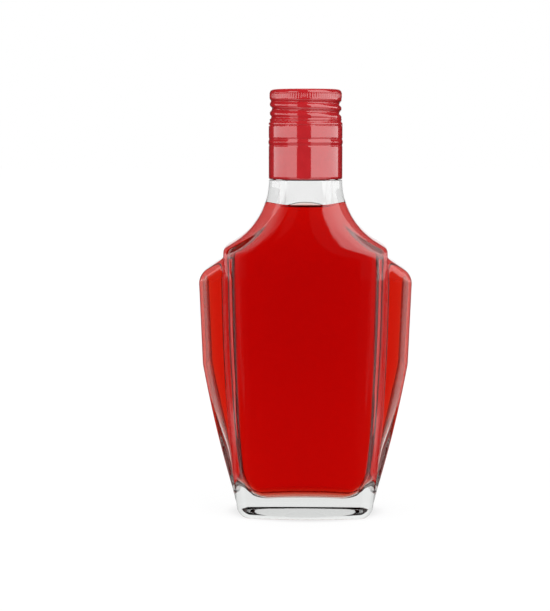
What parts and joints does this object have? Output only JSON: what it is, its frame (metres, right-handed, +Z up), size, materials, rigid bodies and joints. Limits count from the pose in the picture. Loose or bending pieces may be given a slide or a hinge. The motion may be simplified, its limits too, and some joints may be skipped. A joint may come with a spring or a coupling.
{
  "type": "glass liquor bottle",
  "caption": "Clear glass pocket flask for spirits with a deep centre block, thinner stepped side wings and a short rounded neck, filled with a red drink and closed by a red metal screw cap.",
  "frame": {"origin": "middle of the base, on the plane that the bottle stands on", "axes": "+Z up along the neck; the broad front faces -Y; +X to the right seen from the front"},
  "size_m": [0.0854, 0.04, 0.172],
  "materials": {
    "clear_glass": "clear smooth flint glass",
    "red_liquid": "clear deep red drink",
    "red_lacquer": "glossy red lacquer on rolled aluminium"
  },
  "bodies": {
    "root": {"glass_bottle": "clear_glass", "red_drink": "red_liquid", "screw_cap": "red_lacquer"}
  },
  "joints": []
}
